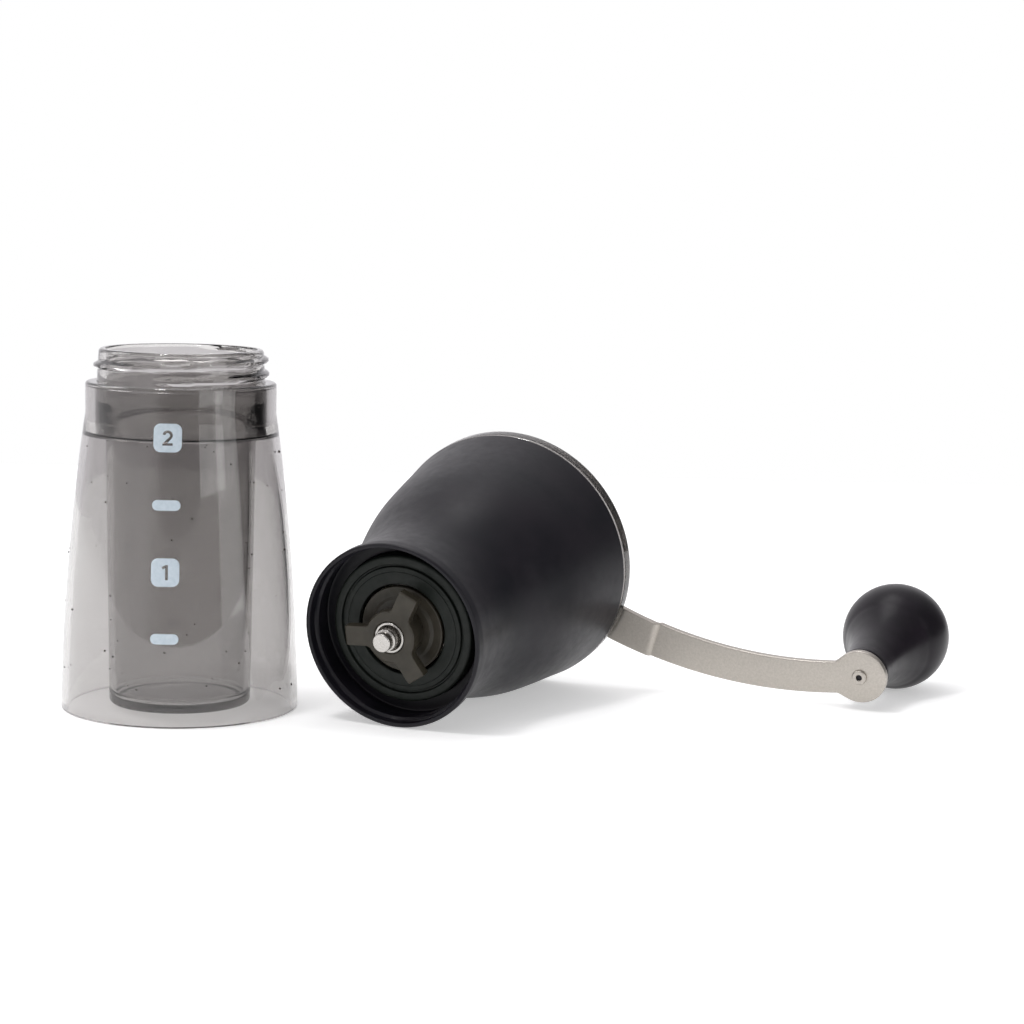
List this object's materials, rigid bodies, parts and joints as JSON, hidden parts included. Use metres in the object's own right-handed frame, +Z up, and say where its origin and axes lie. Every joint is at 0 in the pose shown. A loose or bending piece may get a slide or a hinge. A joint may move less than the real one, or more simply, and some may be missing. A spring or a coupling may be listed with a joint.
{
  "type": "hand crank coffee grinder",
  "caption": "Hand crank burr coffee grinder laid out for cleaning: bell-shaped mill with smoky lid, steel crank and ball knob, beside its clear screw-on grounds jar.",
  "frame": {"origin": "centre of the jar's foot, on the table", "axes": "+Z up along the jar, +X along the table towards the crank knob (the longest extent), +Y away from the open mouth of the mill"},
  "size_m": [0.2469, 0.0969, 0.0964],
  "materials": {
    "clear_plastic": "clear injection-moulded plastic with a faint grey tint",
    "print_white": "pale printed measuring marks",
    "black_plastic": "satin black moulded plastic",
    "green_black": "very dark green-black moulded plastic",
    "ceramic": "dark fired ceramic",
    "olive_plastic": "dark olive brown glass-filled plastic",
    "smoke_plastic": "smoky clear plastic",
    "satin_steel": "fine bead-blasted stainless steel",
    "bright_steel": "turned stainless steel",
    "bronze": "sintered bronze",
    "knob_black": "matte black moulded plastic",
    "nylon": "dark nylon"
  },
  "bodies": {
    "jar": {"jar_vessel": "clear_plastic", "jar_skirt": "clear_plastic", "scale_marks": "print_white"},
    "mill": {"bell_housing": "black_plastic", "outer_burr_holder": "green_black", "outer_burr": "ceramic", "lower_spider": "black_plastic", "lower_bush": "bronze", "upper_spider": "black_plastic", "upper_bush": "bronze"},
    "lid": {"lid": "smoke_plastic"},
    "shaft": {"drive_shaft": "bright_steel", "thrust_washer": "nylon", "shaft_ring": "bright_steel", "burr_spring": "bright_steel"},
    "burr": {"inner_burr": "ceramic", "burr_carrier": "olive_plastic"},
    "adjuster": {"adjuster_star": "olive_plastic", "adjuster_insert": "bright_steel"},
    "crank": {"crank_arm": "satin_steel", "crank_boss": "satin_steel", "knob_pin": "bright_steel", "knob_washer": "nylon", "knob_clip": "bright_steel"},
    "knob": {"knob": "knob_black", "knob_bush": "nylon"}
  },
  "joints": [
    {"name": "mill_tip_up", "type": "hinge", "parent": "jar", "child": "mill", "pos_m": [0.0597, -0.0237, 0], "axis": [0.9166, -0.3997, 0], "range_deg": [0, 60]},
    {"name": "lid_lift", "type": "slide", "parent": "mill", "child": "lid", "axis": [0.3952, 0.9062, 0.1503], "range_m": [0, 0.01]},
    {"name": "shaft_spin", "type": "hinge", "parent": "mill", "child": "shaft", "pos_m": [0.0582, -0.02714, 0.02472], "axis": [0.3952, 0.9062, 0.1503], "continuous": true},
    {"name": "burr_feed", "type": "slide", "parent": "shaft", "child": "burr", "axis": [0.3952, 0.9062, 0.1503], "range_m": [-0.0006, 0.0006], "deforming": ["burr_spring"]},
    {"name": "adjuster_turn", "type": "hinge", "parent": "burr", "child": "adjuster", "pos_m": [0.0582, -0.02714, 0.02472], "axis": [0.3952, 0.9062, 0.1503], "range_deg": [-216, 216]},
    {"name": "crank_lift", "type": "slide", "parent": "shaft", "child": "crank", "axis": [0.3952, 0.9062, 0.1503], "range_m": [0, 0.02]},
    {"name": "knob_spin", "type": "hinge", "parent": "crank", "child": "knob", "pos_m": [0.19262, 0.02662, 0.01246], "axis": [0.3952, 0.9062, 0.1503], "continuous": true}
  ],
  "couplings": [
    {"joint": "lid_lift", "follows": "crank_lift", "ratio": 0.5},
    {"joint": "adjuster_turn", "follows": "burr_feed", "rad_per_m": 6283.2}
  ]
}
